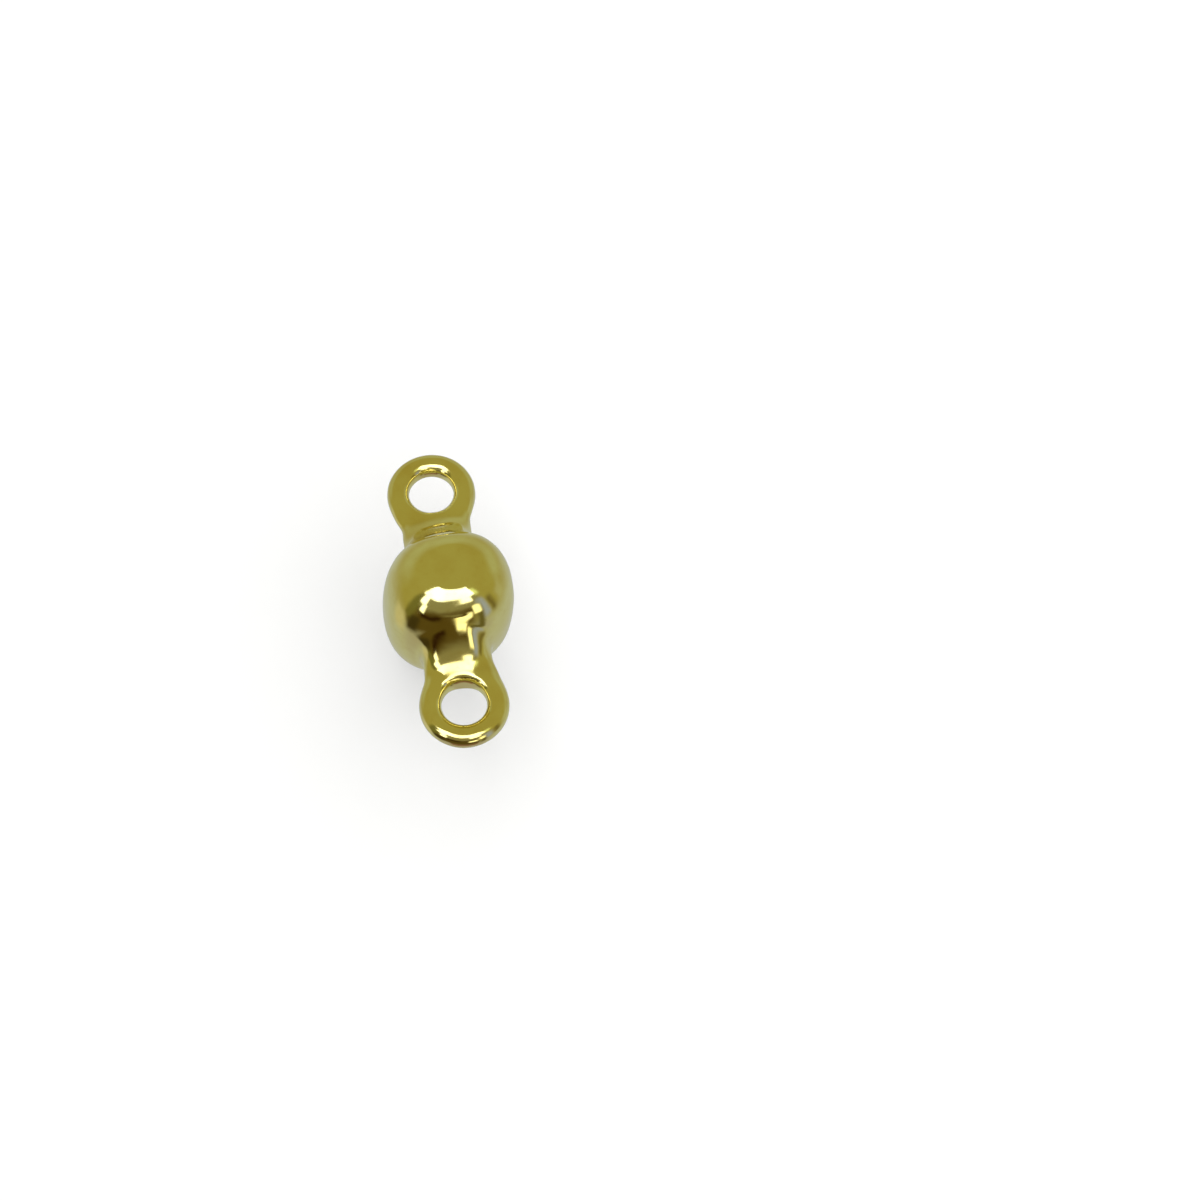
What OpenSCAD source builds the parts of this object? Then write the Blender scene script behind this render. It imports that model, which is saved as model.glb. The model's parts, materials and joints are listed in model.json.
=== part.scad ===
// Charm connector: a round bead body with a loop at each end, cast in one piece.
// It stands on the small flat under its body, with both loops level.
// X runs through the two loops, Z is up, and the origin lies on the surface under the body.

/* [Body] */
// Diameter of the body, seen from above
body_d = 4; // [3.5:0.1:5]
// Height of the body between its rounded poles
body_h = 4.8; // [4:0.1:6]
// Fullness of the body's side: 2 is an ellipse, more is squarer
body_fullness = 2.5; // [2.2:0.1:3.2]
// Diameter of the small flat at each pole
flat_d = 1.4; // [0.8:0.1:1.6]

/* [Loops] */
// Distance between the centres of the two holes
loop_spacing = 7.28; // [7.1:0.02:8]
// Outer diameter of a loop
loop_d = 2.72; // [2.5:0.02:3]
// Diameter of the hole in a loop
hole_d = 1.36; // [1.2:0.02:1.5]
// Thickness of a loop along its hole
loop_t = 0.7; // [0.5:0.02:0.8]
// How deep the hole cuts into the round inside of a loop
hole_land = 0.035; // [0.02:0.005:0.06]

/* [Necks] */
// Width of a neck at its waist
neck_w = 2.14; // [1.9:0.02:2.3]
// Height of a neck where its slope ends at the loop
neck_h = 1.72; // [1.4:0.02:1.9]
// Radius of the neck's hollow on the body's side, seen from above
waist_r = 1.15; // [1:0.05:1.4]
// Radius of the neck's hollow on the loop's side, seen from above
waist_loop_r = 2.2; // [2.1:0.1:3]
// Radius of the neck's hollow, seen from the side
slope_r = 1.1; // [1:0.05:1.3]

/* [Hidden] */

body_r = body_d / 2;
flat_r = flat_d / 2;
loop_r = loop_d / 2;
hole_r = hole_d / 2;
loop_x = loop_spacing / 2;

// The pole flats cut a little off the body's height
pole_z = superellipse_height(flat_r, body_r, body_h / 2, body_fullness);

// A loop's wire: its centre line and its half width, across the wire
wire_in = hole_r - hole_land;
wire_r = (loop_r + wire_in) / 2;
wire_half = (loop_r - wire_in) / 2;

// Places along X: where a neck starts inside the body, its waist, where it starts
// to drop to the loop's thickness, and where it ends inside the loop
neck_x0 = 0.65 * body_r;
waist_x = body_r + 0.3;
drop_x = loop_x - hole_r - 0.46;
neck_x1 = loop_x - hole_r + 0.14;
// Where the side slope meets the neck's own height, and what is left of it at the end
slope_x = body_r + 0.8;
neck_end_half = 0.75 * loop_t / 2;
// The most that the neck grows towards the body, so that its start stays inside
waist_rise = 0.33;
slope_rise = 0.68;

profile_steps = 48;
wire_steps = 40;
neck_steps = 18;
neck_sides = 40;
bore_over = 1;

// Height of a superellipse's edge at the distance x from its middle
function superellipse_height(x, rx, rz, power) = rz * pow(1 - pow(x / rx, power), 1 / power);

// Point of a superellipse at the angle a, in the quarter where both values are positive
function superellipse_point(a, rx, rz, power) =
    [rx * pow(abs(cos(a)), 2 / power), rz * pow(abs(sin(a)), 2 / power)];

// Smooth step from 0 to 1 between two places
function ease(x, from, to) =
    let (t = min(1, max(0, (x - from) / (to - from)))) t * t * (3 - 2 * t);

// Rise of a hollow round edge of radius r at the distance x from its lowest place
function hollow(x, r, most) = min(most, abs(x) < r ? r - sqrt(r * r - x * x) : r);

// Half width and half height of a neck at the place x
function neck_half_width(x) =
    neck_w / 2 + hollow(x - waist_x, x < waist_x ? waist_r : waist_loop_r, waist_rise);
function neck_half_height(x) =
    let (slope = neck_h / 2 + hollow(max(0, slope_x - x), slope_r, slope_rise),
         drop = ease(x, drop_x, neck_x1))
    slope * (1 - drop) + neck_end_half * drop;

// Half outline of the body, turned about Z
module body_outline() {
    first = atan2(pow(pole_z, body_fullness / 2) * pow(body_r, body_fullness / 2),
                  pow(flat_r, body_fullness / 2) * pow(body_h / 2, body_fullness / 2));
    side = [for (i = [-profile_steps / 2 : profile_steps / 2])
        let (a = first * i / (profile_steps / 2),
             p = superellipse_point(a, body_r, body_h / 2, body_fullness))
        [p[0], sign(i) * p[1]]];
    polygon(concat([[0, -pole_z]], side, [[0, pole_z]]));
}

module body() {
    rotate_extrude($fn = 96) body_outline();
}

// A loop, round in section, before its hole is trimmed
module loop() {
    rotate_extrude($fn = 72)
        polygon([for (i = [0 : wire_steps - 1])
            [wire_r + wire_half * cos(360 * i / wire_steps), loop_t / 2 * sin(360 * i / wire_steps)]]);
}

// A neck on the +X side: oval sections from inside the body to inside the loop
module neck() {
    points = [for (i = [0 : neck_steps])
        let (x = neck_x0 + (neck_x1 - neck_x0) * i / neck_steps)
        for (j = [0 : neck_sides - 1])
            [x, neck_half_width(x) * cos(360 * j / neck_sides), neck_half_height(x) * sin(360 * j / neck_sides)]];
    walls = [for (i = [0 : neck_steps - 1]) for (j = [0 : neck_sides - 1])
        let (k = (j + 1) % neck_sides,
             a = i * neck_sides + j,
             b = i * neck_sides + k,
             c = (i + 1) * neck_sides + k,
             d = (i + 1) * neck_sides + j)
        each [[a, d, c], [a, c, b]]];
    near_end = [for (j = [0 : neck_sides - 1]) j];
    far_end = [for (j = [0 : neck_sides - 1]) (neck_steps + 1) * neck_sides - 1 - j];
    polyhedron(points, concat(walls, [near_end, far_end]));
}

module connector() {
    color([0.80, 0.70, 0.36])
    translate([0, 0, pole_z])
    difference() {
        union() {
            body();
            for (side = [0, 1]) mirror([side, 0, 0]) {
                neck();
                translate([loop_x, 0, 0]) loop();
            }
        }
        for (side = [-1, 1])
            translate([side * loop_x, 0, -body_h / 2 - bore_over])
                cylinder(h = body_h + 2 * bore_over, r = hole_r, $fn = 72);
    }
}

connector();
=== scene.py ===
# Charm connector: one cast and gold-plated finding, standing on the flat under its body.
# The casting is a Geometry Nodes form and the plating is a shader. The studio is a round floor with
# a low wall, a camera, a lamp above and a sky that only the metal mirrors.
import json
import math

import bpy
from mathutils import Matrix, Vector


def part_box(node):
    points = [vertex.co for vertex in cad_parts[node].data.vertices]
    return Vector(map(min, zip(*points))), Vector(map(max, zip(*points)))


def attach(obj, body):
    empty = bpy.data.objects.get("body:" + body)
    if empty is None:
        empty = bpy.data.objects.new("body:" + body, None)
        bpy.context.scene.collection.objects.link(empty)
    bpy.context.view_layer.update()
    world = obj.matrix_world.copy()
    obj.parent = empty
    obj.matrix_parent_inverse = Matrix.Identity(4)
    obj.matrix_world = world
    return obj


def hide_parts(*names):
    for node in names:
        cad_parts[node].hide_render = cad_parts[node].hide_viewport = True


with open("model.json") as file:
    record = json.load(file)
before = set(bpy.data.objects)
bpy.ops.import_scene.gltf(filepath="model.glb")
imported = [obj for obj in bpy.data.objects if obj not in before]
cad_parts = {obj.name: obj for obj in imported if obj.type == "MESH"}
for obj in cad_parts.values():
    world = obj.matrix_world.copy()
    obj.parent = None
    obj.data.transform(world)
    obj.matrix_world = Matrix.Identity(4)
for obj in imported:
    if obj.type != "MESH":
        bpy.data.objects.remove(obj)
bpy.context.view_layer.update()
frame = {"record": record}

bl_info = {
    "name": "Charm connector",
    "version": (1, 0, 0),
    "blender": (4, 5, 0),
    "location": "3D View > Sidebar > Connector",
    "description": "Builds a gold-plated charm connector and its studio",
    "category": "Add Mesh",
}

NODE = "connector"
BODY = "root"
MM = 0.001

# Side of the square photograph in pixels, and the width of the camera's sensor in millimetres
PICTURE_SIDE = 1200
SENSOR_WIDTH = 36.0

# Sizes that the frame already holds
NODE_LOW, NODE_HIGH = (Vector(corner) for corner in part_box(NODE))
NODE_WIDTH = NODE_HIGH.y - NODE_LOW.y
HOLE = next(m for m in frame["record"]["mounts"] if m["name"] == "loop_hole_plus_x")
HOLE_X = HOLE["pos_m"][0]
HOLE_Z = HOLE["pos_m"][2]
HOLE_RADIUS = HOLE["dims"]["r_mm"] * MM


def length(name, description, default):
    """A size in metres that the sidebar shows as a distance."""
    return bpy.props.FloatProperty(
        name=name, description=description, default=default, min=0.0, precision=5,
        subtype="DISTANCE", unit="LENGTH")


def number(name, description, default, low=0.0, high=1.0):
    """A plain number with its range."""
    return bpy.props.FloatProperty(
        name=name, description=description, default=default, min=low, max=high)


def angle(name, description, degrees):
    """An angle, given in degrees and kept in radians."""
    return bpy.props.FloatProperty(
        name=name, description=description, default=math.radians(degrees),
        subtype="ANGLE", unit="ROTATION")


def colour(name, description, rgb):
    """A linear colour."""
    return bpy.props.FloatVectorProperty(
        name=name, description=description, default=rgb, size=3, min=0.0, max=1.0, subtype="COLOR")


class CastingSizes(bpy.types.PropertyGroup):
    """Sizes of the casting."""

    # Body
    body_diameter: length("Body diameter", "Across the body, seen from above", 0.985 * NODE_WIDTH)
    body_height: length("Body height", "Between the rounded poles, before the flats", 4.8 * MM)
    fullness: number("Fullness", "2 is an ellipse, more is squarer", 2.5, 2.0, 4.0)
    body_lean: number("Body lean", "How far the poles lean out of line, for each unit of height", 0.085)
    body_shift: length("Body shift", "How far the body lies off the middle between the loops", 0.10 * MM)
    body_squareness: number("Squareness", "2 is round seen from above, more is squarer", 2.3, 2.0, 4.0)
    body_depth: number("Depth", "Size along the necks as a share of the width", 0.93, 0.8, 1.0)
    flat_blend: length("Flat blend", "Softness of the edge round a pole's flat", 0.05 * MM)

    # Loops
    loop_distance: length("Loop distance", "From the middle to a hole's centre", HOLE_X)
    loop_radius: length("Loop radius", "Outer radius of a loop", NODE_HIGH.x - HOLE_X)
    loop_thickness: length("Loop thickness", "Along the hole", 0.7 * MM)
    wire_inner: length("Wire inner radius", "Before a loop's hole is cut", 0.67 * MM)
    hole_radius: length("Hole radius", "Radius of a loop's hole", HOLE_RADIUS)
    hole_edge: length("Hole edge", "Softness of a hole's edge", 0.06 * MM)

    # Flat web of a neck
    waist_width: length("Waist width", "Across a neck's web at its narrowest", 1.90 * MM)
    waist_distance: length("Waist distance", "From the middle to a neck's narrowest place", 2.35 * MM)
    web_taper: number("Web taper", "How fast the web's half width grows towards the loop", 0.40)
    flare: length("Flare", "The most that the web's half width grows towards the loop", 0.23 * MM)
    web_reach: length("Web reach", "From a hole's centre to the web's inner edge", 0.84 * MM)
    web_end: length("Web end", "From a hole's centre to the web's end, along the neck", 0.40 * MM)
    web_skew: number("Web skew", "How far the web turns out of line, as a slope", 0.012)
    web_height: length("Web height", "Height of a neck's web at the hole", 0.60 * MM)
    web_thickening: number("Web thickening", "How fast its half height grows towards the body", 0.12)

    # Raised nose of a neck
    nose_width: length("Nose width", "Across a neck's raised nose where it ends on the loop", 1.94 * MM)
    nose_height: length("Nose height", "Height of a nose where it ends on the loop", 0.70 * MM)
    nose_top: length("Nose top", "The most that the nose's half height grows to", 1.75 * MM)
    nose_start: length("Nose start", "From the middle to the nose's start, inside the body", 1.2 * MM)
    nose_fullness: number("Nose fullness", "2 is an oval section, more is squarer", 3.0, 2.0, 6.0)
    nose_widening: number("Nose widening", "How fast the half width grows towards the body", 0.03)
    nose_thickening: number("Nose thickening", "How fast the half height starts to grow", 0.43)
    nose_hollow: number("Nose hollow", "How much faster it grows, for each mm towards the body", 0.45)
    nose_reach: length("Nose reach", "From a hole's centre to the end of the nose", 0.86 * MM)
    nose_radius: length("Nose radius", "Radius of the nose's round end, seen from above", 2.6 * MM)
    nose_skew: number("Nose skew", "How far the nose's end is turned, as a slope", 0.08)
    nose_edge: length("Nose edge", "Softness of the nose's end", 0.45 * MM)

    # Where the parts flow into each other
    body_blend: length("Body blend", "How far body and neck flow into each other", 0.38 * MM)
    loop_blend: length("Loop blend", "How far web and loop flow into each other", 0.20 * MM)
    nose_blend: length("Nose blend", "How far the nose's foot flows into web and loop", 0.40 * MM)

    # Surface
    unevenness: length("Unevenness", "Hand-polished waviness of the surface", 0.010 * MM)
    grid: length("Grid", "Size of the cells that the surface is drawn from", 0.05 * MM)


class PlatingFinish(bpy.types.PropertyGroup):
    """Look of the gold plating."""

    gold: colour("Gold", "Colour of the plating", (0.85, 0.79, 0.36))
    deep_gold: colour("Deep gold", "Colour where the plating is thicker", (0.74, 0.61, 0.19))
    hollow_gold: colour("Hollow gold", "Colour in the hollows, where polish stays", (0.66, 0.56, 0.20))
    # The next two give a darker colour in the creases where the parts flow into each other, and how far it
    # goes
    worn_gold: colour("Worn gold", "Colour where a loop's edge is rubbed", (0.86, 0.80, 0.44))
    hollow_darkening: number("Tarnish", "How far the hollows take their own colour", 0.6)
    rubbing: number("Rubbing", "How far the rubbed edges take their own colour", 0.6)
    gloss: number("Gloss", "Roughness of the polished surface", 0.07)
    haze: number("Haze", "Roughness added where the polish is cloudy", 0.11)
    dullness: number("Dullness", "Roughness added in the hollows", 0.05)
    buffing: number("Buffing", "Roughness taken away where an edge is rubbed", 0.02)
    scratches: number("Scratches", "Depth of the fine polishing lines", 0.06)
    relief: number("Relief", "Strength of all the fine relief", 0.12)


class StudioSetup(bpy.types.PropertyGroup):
    """Camera, floor and lamp."""

    elevation: angle("Elevation", "Camera above the horizon", 63.0)
    heading: angle("Heading", "Camera direction, turned from +X towards -Y", 8.9)
    distance: length("Distance", "From the camera to the body's middle, along the view", 121.5 * MM)
    frame_width: length("Frame width", "Width of the picture at the body", 36.45 * MM)
    body_pixel: bpy.props.FloatVectorProperty(
        name="Body pixel", description="Where the body's middle lies in the photograph",
        default=(447.6, 598.9), size=2)
    floor_size: length("Floor size", "Across the flat of the round floor", 1.2)
    wall_curve: length("Wall curve", "Radius of the hollow between floor and wall", 0.12)
    wall_height: length("Wall height", "Height of the wall round the floor", 0.3)
    floor: colour("Floor", "Colour of the floor", (0.86, 0.86, 0.85))
    lamp_size: length("Lamp size", "Across the round lamp", 2.0)
    lamp_power: number("Lamp power", "In watts", 16.9, 0.0, 200.0)
    lamp_height: length("Lamp height", "Above the floor", 0.6)
    lamp_away: length("Lamp away", "From the part, away from the camera", 0.12)
    lamp_right: length("Lamp right", "From the part, to the camera's right", 0.20)


class Graph:
    """A node tree that is written as calls."""

    def __init__(self, tree):
        self.tree = tree

    def node(self, kind, settings=None, **inputs):
        """A new node: its settings are set first, then its sockets get values or links.

        A socket is named by its name with _ for a space, or by i and its number.
        """
        made = self.tree.nodes.new(kind)
        for key, value in (settings or {}).items():
            setattr(made, key, value)
        for key, value in inputs.items():
            place = int(key[1:]) if key[0] == "i" and key[1:].isdigit() else key.replace("_", " ")
            self.feed(made.inputs[place], value)
        return made

    def feed(self, socket, value):
        """Links a socket, or sets its value."""
        if isinstance(value, Term):
            value = value.socket
        if isinstance(value, bpy.types.NodeSocket):
            self.tree.links.new(value, socket)
        else:
            socket.default_value = value

    def term(self, socket):
        """A socket made ready for expressions."""
        return Term(self, socket)

    def maths(self, operation, *values):
        """A Math node's result."""
        made = self.tree.nodes.new("ShaderNodeMath")
        made.operation = operation
        for socket, value in zip(made.inputs, values):
            self.feed(socket, value)
        return Term(self, made.outputs[0])

    def vector_maths(self, operation, *values, output=0):
        """A Vector Math node's result."""
        made = self.tree.nodes.new("ShaderNodeVectorMath")
        made.operation = operation
        for socket, value in zip(made.inputs, values):
            self.feed(socket, value)
        return made.outputs[output]

    def scaled(self, vector, factor):
        """A vector times a number."""
        return self.node(
            "ShaderNodeVectorMath", {"operation": "SCALE"}, i0=vector, Scale=factor).outputs[0]

    def mix(self, factor, first, second):
        """A mix of two colours."""
        made = self.node("ShaderNodeMix", {"data_type": "RGBA"}, i0=factor, i6=first, i7=second)
        return made.outputs[2]

    def ease(self, value, low, high):
        """Smooth step from 0 at low to 1 at high."""
        made = self.node(
            "ShaderNodeMapRange", {"interpolation_type": "SMOOTHSTEP", "clamp": True},
            i0=value, i1=low, i2=high)
        return Term(self, made.outputs[0])

    def split(self, vector):
        """The three parts of a vector."""
        made = self.node("ShaderNodeSeparateXYZ", i0=vector)
        return [Term(self, out) for out in made.outputs]


class Term:
    """A socket that takes part in Python expressions."""

    def __init__(self, graph, socket):
        self.graph = graph
        self.socket = socket

    def __add__(self, other):
        return self.graph.maths("ADD", self, other)

    __radd__ = __add__

    def __sub__(self, other):
        return self.graph.maths("SUBTRACT", self, other)

    def __rsub__(self, other):
        return self.graph.maths("SUBTRACT", other, self)

    def __mul__(self, other):
        return self.graph.maths("MULTIPLY", self, other)

    __rmul__ = __mul__

    def __truediv__(self, other):
        return self.graph.maths("DIVIDE", self, other)

    def __rtruediv__(self, other):
        return self.graph.maths("DIVIDE", other, self)

    def __pow__(self, other):
        return self.graph.maths("POWER", self, other)

    def __abs__(self):
        return self.graph.maths("ABSOLUTE", self)

    def least(self, other):
        """The smaller of two values."""
        return self.graph.maths("MINIMUM", self, other)

    def most(self, other):
        """The larger of two values."""
        return self.graph.maths("MAXIMUM", self, other)

    def merge(self, other, blend):
        """Union of two distances that flow into each other over blend."""
        return self.graph.maths("SMOOTH_MIN", self, other, blend)

    def trim(self, other, blend):
        """Intersection of two distances with an edge softened over blend."""
        return self.graph.maths("SMOOTH_MAX", self, other, blend)


# The form's inputs, all in millimetres or plain numbers, and where each comes from
FORM_INPUTS = (
    ("Body radius", lambda s: s.body_diameter / MM / 2),
    ("Body half height", lambda s: s.body_height / MM / 2),
    ("Fullness", lambda s: s.fullness),
    ("Body lean", lambda s: s.body_lean),
    ("Body shift", lambda s: s.body_shift / MM),
    ("Squareness", lambda s: s.body_squareness),
    ("Depth", lambda s: s.body_depth),
    ("Flat height", lambda s: HOLE_Z / MM),
    ("Flat blend", lambda s: s.flat_blend / MM),
    ("Loop distance", lambda s: s.loop_distance / MM),
    ("Wire centre", lambda s: (s.loop_radius + s.wire_inner) / MM / 2),
    ("Wire half width", lambda s: (s.loop_radius - s.wire_inner) / MM / 2),
    ("Wire half height", lambda s: s.loop_thickness / MM / 2),
    ("Hole radius", lambda s: s.hole_radius / MM),
    ("Hole edge", lambda s: s.hole_edge / MM),
    ("Waist half width", lambda s: s.waist_width / MM / 2),
    ("Waist distance", lambda s: s.waist_distance / MM),
    ("Web taper", lambda s: s.web_taper),
    ("Flare", lambda s: s.flare / MM),
    ("Web reach", lambda s: s.web_reach / MM),
    ("Web end", lambda s: s.web_end / MM),
    ("Web skew", lambda s: s.web_skew),
    ("Web half height", lambda s: s.web_height / MM / 2),
    ("Web thickening", lambda s: s.web_thickening),
    ("Nose half width", lambda s: s.nose_width / MM / 2),
    ("Nose half height", lambda s: s.nose_height / MM / 2),
    ("Nose top", lambda s: s.nose_top / MM),
    ("Nose start", lambda s: s.nose_start / MM),
    ("Nose fullness", lambda s: s.nose_fullness),
    ("Nose widening", lambda s: s.nose_widening),
    ("Nose thickening", lambda s: s.nose_thickening),
    ("Nose hollow", lambda s: s.nose_hollow),
    ("Nose reach", lambda s: s.nose_reach / MM),
    ("Nose radius", lambda s: s.nose_radius / MM),
    ("Nose skew", lambda s: s.nose_skew),
    ("Nose edge", lambda s: s.nose_edge / MM),
    ("Body blend", lambda s: s.body_blend / MM),
    ("Loop blend", lambda s: s.loop_blend / MM),
    ("Nose blend", lambda s: s.nose_blend / MM),
    ("Unevenness", lambda s: s.unevenness / MM),
)

# Share that brings the body's measure near a true distance
BODY_EASE = 0.9

# The web's section, 2 for an oval, the softness of its flare in millimetres, and the least share
# that its distance is divided by, which keeps it finite on the web's axis
WEB_FULLNESS = 2.2
FLARE_EASE = 0.1
LEAST_SHARE = 0.05

# Heights off the holes' level between which the body's blend fades, and what is added to its share
BLEND_FADE = (0.7, 1.4)
BLEND_LEFT = 0.15

# Waves of the surface: their seed, how many lie in a millimetre, and how far noise usually strays
WAVE_SEED = 3.7
WAVE_SCALE = 0.75
NOISE_REACH = 0.25

# A hollow counts as full where it is filled by the widest blend over this
FULL_HOLLOW = 4

# Where a loop's edge is rubbed: the share of the wire's width, and the distance from the middle
RIM_WIDTHS = (0.55, 1.0)
RIM_DISTANCES = (2.6, 3.2)

# The slope of the distance is measured at the corners of a small tetrahedron, this far out
PROBE = 0.01
PROBE_CORNERS = ((1, -1, -1), (-1, -1, 1), (-1, 1, -1), (1, 1, 1))
PASSES = 2

# Room round the form in its grid, in millimetres
ROOM = 0.3


def length_of(*parts):
    """Length of a vector given by its parts."""
    total = sum((part * part for part in parts[1:]), parts[0] * parts[0])
    return total ** 0.5


def oval_share(across, upright, fullness):
    """How far out a point is in a superellipse section, 1 at its edge.

    The point is given by its shares of the section's half sizes.
    """
    return (abs(across) ** fullness + abs(upright) ** fullness) ** (1 / fullness)


def body_distance(size, ahead, y, z):
    """Body: a superellipse that leans a little and isn't quite round seen from above."""
    leaning = abs(y - size["Body lean"] * z)
    around = (ahead / size["Depth"]) ** size["Squareness"] + leaning ** size["Squareness"]
    around = around ** (1 / size["Squareness"])
    round_part = (around / size["Body radius"]) ** size["Fullness"]
    tall_part = (abs(z) / size["Body half height"]) ** size["Fullness"]
    share = (round_part + tall_part) ** (1 / size["Fullness"])
    return (share - 1) * size["Body radius"] * BODY_EASE


def loop_distance(size, off_ring, z):
    """Loop: a ring of oval wire."""
    half_width = size["Wire half width"]
    half_height = size["Wire half height"]
    return (length_of(off_ring / half_width, z / half_height) - 1) * half_width.least(half_height)


def web_distance(size, x, across, off_hole, z):
    """Web: the flat part of a neck, which flares into the loop's sides and stops round the hole."""
    growth = (x - size["Waist distance"]) * size["Web taper"]
    flare = growth.trim(0, FLARE_EASE).merge(size["Flare"], FLARE_EASE)
    half_width = size["Waist half width"] + flare
    off_loop = (size["Loop distance"] - x.most(size["Nose start"])).most(0)
    half_height = size["Web half height"] + size["Web thickening"] * off_loop
    share = oval_share(across / half_width, z / half_height, WEB_FULLNESS)
    web = (share - 1) * length_of(across, z) / share.most(LEAST_SHARE)
    web = web.trim(size["Web reach"] - off_hole, size["Loop blend"])
    return web.trim(x - size["Loop distance"] + size["Web end"], size["Loop blend"])


def nose_distance(size, ahead, y, z):
    """Nose: the raised part of a neck, which slopes down hollow from the body and ends on the loop."""
    end = size["Loop distance"] - size["Nose reach"]
    curve = y * y / (2 * size["Nose radius"]) - size["Nose skew"] * y
    reach = (end - curve - ahead.most(size["Nose start"])).most(0)
    half_width = size["Nose half width"] + size["Nose widening"] * reach
    slope = size["Nose thickening"] * reach + size["Nose hollow"] * reach * reach
    half_height = (size["Nose half height"] + slope).least(size["Nose top"])
    share = oval_share(y / half_width, z / half_height, size["Nose fullness"])
    nose = (share - 1) * half_width.least(half_height)
    return nose.trim(ahead - end + curve, size["Nose edge"])


def waviness(graph, size, point):
    """Faint waves that casting and hand polishing leave."""
    noise = graph.node(
        "ShaderNodeTexNoise", {"noise_dimensions": "4D"},
        Vector=point, W=WAVE_SEED, Scale=WAVE_SCALE, Detail=3.0, Roughness=0.45)
    return (graph.term(noise.outputs[0]) - 0.5) * size["Unevenness"] * (1 / NOISE_REACH)


def form_distance_group():
    """Node group: how far a point is from the casting's surface, negative inside, and two marks."""
    tree = bpy.data.node_groups.new("form_distance", "GeometryNodeTree")
    tree.interface.new_socket("Point", in_out="INPUT", socket_type="NodeSocketVector")
    for name, _ in FORM_INPUTS:
        tree.interface.new_socket(name, in_out="INPUT", socket_type="NodeSocketFloat")
    for name in ("Distance", "Hollow", "Rim"):
        tree.interface.new_socket(name, in_out="OUTPUT", socket_type="NodeSocketFloat")
    graph = Graph(tree)
    entry = tree.nodes.new("NodeGroupInput")
    size = {name: graph.term(entry.outputs[name]) for name, _ in FORM_INPUTS}

    # Both ends are alike but for the body's shift and the web's skew, which come before the mirroring
    x, y, z = graph.split(entry.outputs["Point"])
    ahead = abs(x - size["Body shift"])
    across = y - size["Web skew"] * x
    x = abs(x)
    off_hole = length_of(x - size["Loop distance"], y)
    off_ring = off_hole - size["Wire centre"]
    body = body_distance(size, ahead, y, z)
    loop = loop_distance(size, off_ring, z)
    web = web_distance(size, x, across, off_hole, z)
    nose = nose_distance(size, ahead, y, z)

    flat_part = loop.merge(web, size["Loop blend"])
    neck = flat_part.merge(nose, size["Nose blend"])
    low = graph.ease(0 - abs(z), -BLEND_FADE[1], -BLEND_FADE[0])
    smooth = body.merge(neck, size["Body blend"] * (low + BLEND_LEFT))
    whole = smooth + waviness(graph, size, entry.outputs["Point"])
    whole = whole.trim(abs(z) - size["Flat height"], size["Flat blend"])
    whole = whole.trim(size["Hole radius"] - off_hole, size["Hole edge"])

    # Where the parts flow into each other, and where a loop's outer edge is rubbed
    sharp = body.least(flat_part).least(nose)
    hollow = (sharp - smooth) / (size["Body blend"].most(size["Nose blend"]) / FULL_HOLLOW)
    rim = graph.ease(off_ring / size["Wire half width"], *RIM_WIDTHS) * graph.ease(x, *RIM_DISTANCES)
    leave = tree.nodes.new("NodeGroupOutput")
    graph.feed(leave.inputs["Distance"], whole)
    graph.feed(leave.inputs["Hollow"], hollow.least(1).most(0))
    graph.feed(leave.inputs["Rim"], rim)
    return tree


def onto_surface(graph, shape, place, distance):
    """Moves every corner of a mesh onto the form's surface, along the slope of the distance."""
    slope = None
    total = None
    for corner in PROBE_CORNERS:
        spot = graph.vector_maths("ADD", place, tuple(PROBE * part for part in corner))
        value = distance(spot)
        pull = graph.scaled(corner, value)
        slope = pull if slope is None else graph.vector_maths("ADD", slope, pull)
        total = value if total is None else total + value
    steep = graph.term(graph.vector_maths("DOT_PRODUCT", slope, slope, output=1))
    shift = graph.scaled(slope, total * (-PROBE) / steep)
    return graph.node("GeometryNodeSetPosition", Geometry=shape, Offset=shift).outputs[0]


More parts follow.
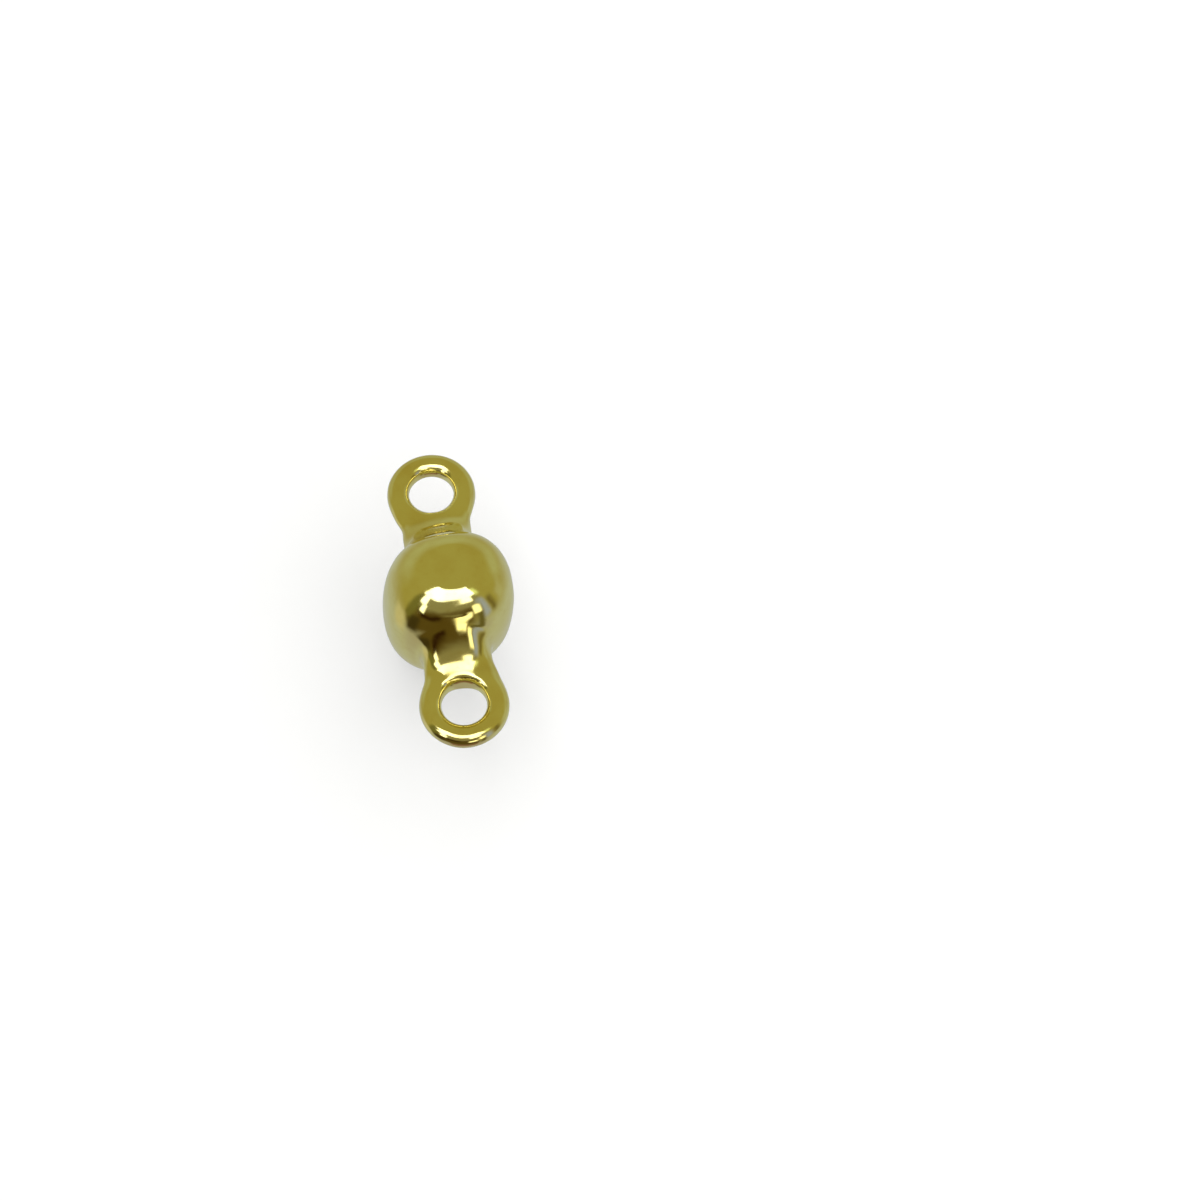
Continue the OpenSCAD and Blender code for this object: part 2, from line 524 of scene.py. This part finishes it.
def form_tree():
    """Geometry Nodes tree that draws the casting's surface from its distance."""
    tree = bpy.data.node_groups.new("casting_form", "GeometryNodeTree")
    for name, _ in FORM_INPUTS:
        tree.interface.new_socket(name, in_out="INPUT", socket_type="NodeSocketFloat")
    tree.interface.new_socket("Cell", in_out="INPUT", socket_type="NodeSocketFloat")
    tree.interface.new_socket("Box", in_out="INPUT", socket_type="NodeSocketVector")
    tree.interface.new_socket("Rise", in_out="INPUT", socket_type="NodeSocketFloat")
    tree.interface.new_socket("Material", in_out="INPUT", socket_type="NodeSocketMaterial")
    tree.interface.new_socket("Geometry", in_out="OUTPUT", socket_type="NodeSocketGeometry")
    graph = Graph(tree)
    entry = tree.nodes.new("NodeGroupInput")
    group = form_distance_group()

    def form_at(point):
        made = graph.node("GeometryNodeGroup", {"node_tree": group}, Point=point)
        for name, _ in FORM_INPUTS:
            graph.feed(made.inputs[name], entry.outputs[name])
        return made.outputs

    def distance(point):
        return graph.term(form_at(point)["Distance"])

    # A closed skin is drawn where the distance is zero, and its corners are then set right
    place = tree.nodes.new("GeometryNodeInputPosition").outputs[0]
    cells = [reach / graph.term(entry.outputs["Cell"]) * 2 for reach in graph.split(entry.outputs["Box"])]
    volume = graph.node(
        "GeometryNodeVolumeCube",
        Density=0 - distance(place), Background=-1.0,
        Min=graph.scaled(entry.outputs["Box"], -1.0), Max=entry.outputs["Box"],
        Resolution_X=cells[0], Resolution_Y=cells[1], Resolution_Z=cells[2])
    mesh = graph.node("GeometryNodeVolumeToMesh", Volume=volume.outputs[0], Threshold=0.0)
    shape = mesh.outputs[0]
    for _ in range(PASSES):
        shape = onto_surface(graph, shape, place, distance)

    # The shader reads these two from the mesh
    marks = form_at(place)
    for name in ("Hollow", "Rim"):
        kept = graph.node(
            "GeometryNodeStoreNamedAttribute", {"data_type": "FLOAT", "domain": "POINT"},
            Geometry=shape, Name=name.lower(), Value=marks[name])
        shape = kept.outputs[0]

    smooth = graph.node("GeometryNodeSetShadeSmooth", i0=shape)
    raised = graph.node("ShaderNodeCombineXYZ", Z=entry.outputs["Rise"])
    scaled = graph.node(
        "GeometryNodeTransform", Geometry=smooth.outputs[0], Translation=raised.outputs[0],
        Scale=(MM, MM, MM))
    real = graph.node("GeometryNodeRealizeInstances", Geometry=scaled.outputs[0])
    plated = graph.node(
        "GeometryNodeSetMaterial", Geometry=real.outputs[0], Material=entry.outputs["Material"])
    leave = tree.nodes.new("NodeGroupOutput")
    graph.feed(leave.inputs["Geometry"], plated.outputs[0])
    return tree


# Marks of the plating, as counts for each metre, and the noise values between which each comes in
CLOUD_SCALE = 900.0
CLOUD_FADE = (0.35, 0.7)
SPECK_SCALE = 5200.0
SPECK_FADE = (0.55, 0.8)
DRIFT_SCALE = 330.0
DRIFT_FADE = (0.35, 0.65)
BREAK_FADE = (0.4, 0.6)

# Two sets of polishing lines: the turn in radians, and the counts for each metre along X, Y and Z
POLISHING_LINES = (
    (0.5, (9000.0, 700.0, 5200.0)),
    (-0.7, (8000.0, 900.0, 6000.0)),
)

# Heights of clouds and specks beside the polishing lines, and the bump's full height
CLOUD_RELIEF = 0.4
SPECK_RELIEF = 0.05
BUMP_HEIGHT = 0.004 * MM


def new_material(name):
    """An empty node material, its graph and its Object coordinates."""
    material = bpy.data.materials.new(name)
    material.use_nodes = True
    tree = material.node_tree
    tree.nodes.clear()
    place = tree.nodes.new("ShaderNodeTexCoord").outputs["Object"]
    return material, Graph(tree), place


def polishing_lines(graph, place):
    """Noise drawn out along one direction, twice, crossing at a slant."""
    lines = None
    for turn, stretch in POLISHING_LINES:
        turned = graph.node(
            "ShaderNodeMapping", Vector=place, Rotation=(0.2, turn, turn * 1.3), Scale=stretch)
        fine = graph.node("ShaderNodeTexNoise", Vector=turned.outputs[0], Scale=1.0, Detail=2.0)
        lines = graph.term(fine.outputs[0]) if lines is None else lines + graph.term(fine.outputs[0])
    return lines


def gold_material(finish):
    """Polished gold plating: cloudy colour, darker and duller hollows, rubbed rims, fine lines and specks.
    """
    material, graph, place = new_material("gold_plating")

    def mark(name):
        return graph.term(graph.node("ShaderNodeAttribute", {"attribute_name": name}).outputs["Fac"])

    def noise(scale, detail, roughness):
        made = graph.node(
            "ShaderNodeTexNoise", Vector=place, Scale=scale, Detail=detail, Roughness=roughness)
        return graph.term(made.outputs[0])

    clouds = noise(CLOUD_SCALE, 3.0, 0.55)
    specks = noise(SPECK_SCALE, 2.0, 0.6)
    cloudy = graph.ease(clouds, *CLOUD_FADE)
    speckled = graph.ease(specks, *SPECK_FADE)
    drifting = graph.ease(noise(DRIFT_SCALE, 1.0, 0.5), *DRIFT_FADE)
    # The creases where the parts flow into each other get a darker colour and a rougher surface
    dull = (mark("hollow") * (0.35 + 0.65 * cloudy)).least(1)
    rubbed = mark("rim") * graph.ease(clouds, *BREAK_FADE)

    deep = cloudy * 0.5 + speckled * 0.2 + drifting * 0.3
    base = graph.mix(deep, (*finish.gold, 1.0), (*finish.deep_gold, 1.0))
    # Darker colour in the creases between the parts
    base = graph.mix(dull * finish.hollow_darkening, base, (*finish.hollow_gold, 1.0))
    base = graph.mix(rubbed * finish.rubbing, base, (*finish.worn_gold, 1.0))

    height = polishing_lines(graph, place) * finish.scratches + clouds * CLOUD_RELIEF
    height = height + specks * SPECK_RELIEF * (1 + 2 * dull)
    bump = graph.node("ShaderNodeBump", Strength=finish.relief, Distance=BUMP_HEIGHT, Height=height)

    rough = finish.gloss + cloudy * finish.haze * 0.6 + speckled * finish.haze * 0.4
    rough = rough + dull * finish.dullness - rubbed * finish.buffing
    shader = graph.node(
        "ShaderNodeBsdfPrincipled", Base_Color=base, Metallic=1.0, Roughness=rough, Normal=bump.outputs[0])
    graph.node("ShaderNodeOutputMaterial", Surface=shader.outputs[0])
    return material


def floor_material(tint):
    """Matt pale board with a faint mottle."""
    material, graph, place = new_material("pale_board")
    darker = tuple(0.985 * part for part in tint)
    mottle = graph.node("ShaderNodeTexNoise", Vector=place, Scale=40.0, Detail=3.0)
    base = graph.mix(mottle.outputs[0], (*tint, 1.0), (*darker, 1.0))
    shader = graph.node(
        "ShaderNodeBsdfPrincipled", Base_Color=base, Roughness=0.85, Specular_IOR_Level=0.2)
    graph.node("ShaderNodeOutputMaterial", Surface=shader.outputs[0])
    return material


# The sky that the metal mirrors, as patches in degrees seen from the part. A heading is 0 towards
# the camera and plus to its right, and a later patch lies over an earlier one.
SKY_PATCHES = (
    # heading, height, half heading, half height, softness, colour
    (180.0, 6.0, 70.0, 14.0, 24.0, (0.45, 0.455, 0.27)),
    (-180.0, 6.0, 70.0, 14.0, 24.0, (0.45, 0.455, 0.27)),
    (0.0, -70.0, 200.0, 50.0, 44.0, (0.50, 0.52, 0.48)),
    (-80.0, -28.0, 14.0, 14.0, 16.0, (0.62, 0.59, 0.46)),
    (97.0, -5.0, 12.0, 14.0, 16.0, (0.47, 0.47, 0.32)),
    (-5.0, -66.0, 58.0, 40.0, 26.0, (0.42, 0.40, 0.38)),
    (0.0, -36.0, 28.0, 12.0, 10.0, (0.26, 0.15, 0.11)),
    (-4.0, 28.0, 55.0, 26.0, 8.0, (0.29, 0.27, 0.16)),
    (-58.0, 0.0, 10.0, 20.0, 14.0, (0.17, 0.150, 0.040)),
    (-12.0, -5.5, 42.0, 23.5, 14.0, (0.105, 0.072, 0.016)),
    (-52.0, -18.0, 11.0, 14.0, 12.0, (0.055, 0.040, 0.012)),
    (-66.0, 16.0, 8.0, 28.0, 10.0, (0.18, 0.17, 0.05)),
    (49.0, 7.0, 8.0, 24.0, 16.0, (0.38, 0.43, 0.74)),
    (68.0, 2.0, 6.0, 20.0, 14.0, (0.18, 0.145, 0.050)),
    (-26.0, 5.0, 18.0, 5.0, 10.0, (0.030, 0.012, 0.003)),
    (38.0, -10.0, 5.0, 26.0, 8.0, (0.14, 0.12, 0.04)),
    (35.5, 10.0, 5.5, 10.0, 6.0, (1.8, 1.7, 1.2)),
    (17.5, 1.5, 8.5, 6.0, 6.0, (2.0, 1.9, 1.4)),
    (56.0, 52.0, 8.0, 8.0, 12.0, (0.9, 1.0, 0.5)),
    (-10.0, 60.0, 60.0, 12.5, 5.0, (2.8, 2.8, 2.8)),
    (-52.0, 42.0, 9.0, 14.0, 6.0, (2.6, 2.6, 2.5)),
    (-44.0, 20.0, 6.0, 9.0, 6.0, (2.4, 2.4, 2.2)),
    (24.0, 46.0, 12.0, 13.0, 6.0, (2.7, 2.7, 2.6)),
)
SKY_COLOUR = (0.388, 0.350, 0.115)


def build_sky(setup):
    """World: a warm dim room with a bright window. The metal mirrors it, and it doesn't light the floor."""
    world = bpy.data.worlds.new("studio_sky")
    bpy.context.scene.world = world
    world.use_nodes = True
    world.cycles_visibility.diffuse = False
    tree = world.node_tree
    tree.nodes.clear()
    graph = Graph(tree)
    ray = tree.nodes.new("ShaderNodeTexCoord").outputs["Generated"]
    turned = graph.node(
        "ShaderNodeMapping", {"vector_type": "POINT"}, Vector=ray, Rotation=(0.0, 0.0, setup.heading))
    ahead, side, up = graph.split(turned.outputs[0])
    heading = graph.maths("ARCTAN2", side, ahead) * math.degrees(1)
    height = graph.maths("ARCSINE", up.least(1).most(-1)) * math.degrees(1)
    tint = (*SKY_COLOUR, 1.0)
    for middle, level, half_wide, half_high, soft, patch in SKY_PATCHES:
        wide = graph.ease(half_wide - abs(heading - middle), -soft / 2, soft / 2)
        high = graph.ease(half_high - abs(height - level), -soft / 2, soft / 2)
        tint = graph.mix(wide * high, tint, (*patch, 1.0))
    shine = graph.node("ShaderNodeBackground", Color=tint, Strength=1.0)
    graph.node("ShaderNodeOutputWorld", Surface=shine.outputs[0])


def add_object(name, data):
    """Links a new object at the origin."""
    made = bpy.data.objects.new(name, data)
    bpy.context.scene.collection.objects.link(made)
    return made


def sweep_mesh(radius, curve, height):
    """Round floor whose edge curves up into a low wall."""
    sides = 72
    steps = 12
    profile = [(radius + curve * math.sin(turn), curve * (1 - math.cos(turn)))
               for turn in (math.pi / 2 * i / steps for i in range(steps + 1))]
    profile.append((radius + curve, height))
    points = [(r * math.cos(2 * math.pi * j / sides), r * math.sin(2 * math.pi * j / sides), z)
              for r, z in profile for j in range(sides)]
    faces = [tuple(range(sides))]
    for row in range(len(profile) - 1):
        for j in range(sides):
            low = row * sides
            after = (j + 1) % sides
            faces.append((low + j, low + sides + j, low + sides + after, low + after))
    mesh = bpy.data.meshes.new("floor")
    mesh.from_pydata(points, [], faces)
    mesh.polygons.foreach_set("use_smooth", [True] * len(faces))
    return mesh


def build_floor(setup):
    """Floor and wall, which the metal doesn't mirror."""
    mesh = sweep_mesh(setup.floor_size / 2, setup.wall_curve, setup.wall_height)
    mesh.materials.append(floor_material(setup.floor))
    floor = add_object("floor", mesh)
    floor.visible_glossy = False


def camera_axes(setup):
    """Directions right, up and towards the camera, in the part's frame."""
    low = Vector((math.cos(setup.heading), -math.sin(setup.heading), 0.0))
    back = low * math.cos(setup.elevation) + Vector((0.0, 0.0, math.sin(setup.elevation)))
    right = Vector((0.0, 0.0, 1.0)).cross(back).normalized()
    return right, back.cross(right), back


def build_camera(setup):
    """Long-lens camera whose picture has the body's middle at its pixel."""
    right, up, back = camera_axes(setup)
    across = (0.5 - setup.body_pixel[0] / PICTURE_SIDE) * setup.frame_width
    above = (setup.body_pixel[1] / PICTURE_SIDE - 0.5) * setup.frame_width
    middle = Vector((0.0, 0.0, HOLE_Z))
    place = middle + right * across + up * above + back * setup.distance
    data = bpy.data.cameras.new("camera")
    data.sensor_width = SENSOR_WIDTH
    data.lens = SENSOR_WIDTH * setup.distance / setup.frame_width
    data.clip_start = 5 * MM
    camera = add_object("camera", data)
    turn = Matrix((right, up, back)).transposed().to_4x4()
    camera.matrix_world = Matrix.Translation(place) @ turn
    bpy.context.scene.camera = camera


def build_lamp(setup):
    """Large round lamp above the part, which lights the floor and isn't mirrored."""
    data = bpy.data.lights.new("fill", "AREA")
    data.shape = "DISK"
    data.size = setup.lamp_size
    data.energy = setup.lamp_power
    lamp = add_object("fill", data)
    right, _, back = camera_axes(setup)
    away = Vector((-back.x, -back.y, 0.0)).normalized()
    place = away * setup.lamp_away + right * setup.lamp_right + Vector((0.0, 0.0, setup.lamp_height))
    turn = place.to_track_quat("Z", "Y").to_matrix().to_4x4()
    lamp.matrix_world = Matrix.Translation(place) @ turn
    lamp.visible_glossy = False


class CONNECTOR_OT_casting(bpy.types.Operator):
    """Build the casting with its gold plating"""

    bl_idname = "connector.casting"
    bl_label = "Casting"

    def execute(self, context):
        sizes = context.scene.casting_sizes
        seed = add_object("casting_seed", bpy.data.meshes.new("casting_seed"))
        modifier = seed.modifiers.new("form", "NODES")
        modifier.node_group = form_tree()
        ids = {item.name: item.identifier for item in modifier.node_group.interface.items_tree
               if item.in_out == "INPUT"}
        for name, size in FORM_INPUTS:
            modifier[ids[name]] = float(size(sizes))
        modifier[ids["Cell"]] = sizes.grid / MM
        modifier[ids["Box"]] = (
            NODE_HIGH.x / MM + ROOM, NODE_HIGH.y / MM + ROOM, sizes.body_height / MM / 2 + ROOM)
        modifier[ids["Rise"]] = HOLE_Z
        modifier[ids["Material"]] = gold_material(context.scene.plating_finish)
        depsgraph = context.evaluated_depsgraph_get()
        mesh = bpy.data.meshes.new_from_object(seed.evaluated_get(depsgraph), depsgraph=depsgraph)
        bpy.data.objects.remove(seed)
        if not mesh.polygons:
            raise RuntimeError("the casting has no faces")
        mesh.name = "casting"
        piece = add_object("casting", mesh)
        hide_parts(NODE)
        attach(piece, BODY)
        piece.visible_diffuse = False
        print("casting triangles", sum(len(face.vertices) - 2 for face in mesh.polygons))
        return {"FINISHED"}


class CONNECTOR_OT_studio(bpy.types.Operator):
    """Build the floor, the sky, the camera and the lamp"""

    bl_idname = "connector.studio"
    bl_label = "Studio"

    def execute(self, context):
        setup = context.scene.studio_setup
        build_floor(setup)
        build_sky(setup)
        build_camera(setup)
        build_lamp(setup)
        context.scene.view_settings.view_transform = "Standard"
        return {"FINISHED"}


class CONNECTOR_PT_panel(bpy.types.Panel):
    """Sidebar panel with the sizes and the two builders."""

    bl_idname = "CONNECTOR_PT_panel"
    bl_label = "Charm connector"
    bl_space_type = "VIEW_3D"
    bl_region_type = "UI"
    bl_category = "Connector"

    def draw(self, context):
        for title, owner, builder in (
                ("Casting", context.scene.casting_sizes, "connector.casting"),
                ("Plating", context.scene.plating_finish, None),
                ("Studio", context.scene.studio_setup, "connector.studio")):
            box = self.layout.box()
            box.label(text=title)
            for key in owner.__annotations__:
                box.prop(owner, key)
            if builder:
                box.operator(builder)


CLASSES = (
    CastingSizes, PlatingFinish, StudioSetup,
    CONNECTOR_OT_casting, CONNECTOR_OT_studio, CONNECTOR_PT_panel,
)
GROUPS = {"casting_sizes": CastingSizes, "plating_finish": PlatingFinish, "studio_setup": StudioSetup}


def register():
    for cls in CLASSES:
        bpy.utils.register_class(cls)
    for name, group in GROUPS.items():
        setattr(bpy.types.Scene, name, bpy.props.PointerProperty(type=group))


def unregister():
    for name in GROUPS:
        delattr(bpy.types.Scene, name)
    for cls in reversed(CLASSES):
        bpy.utils.unregister_class(cls)


def main():
    register()
    bpy.ops.connector.casting()
    bpy.ops.connector.studio()


if __name__ == "__main__":
    main()
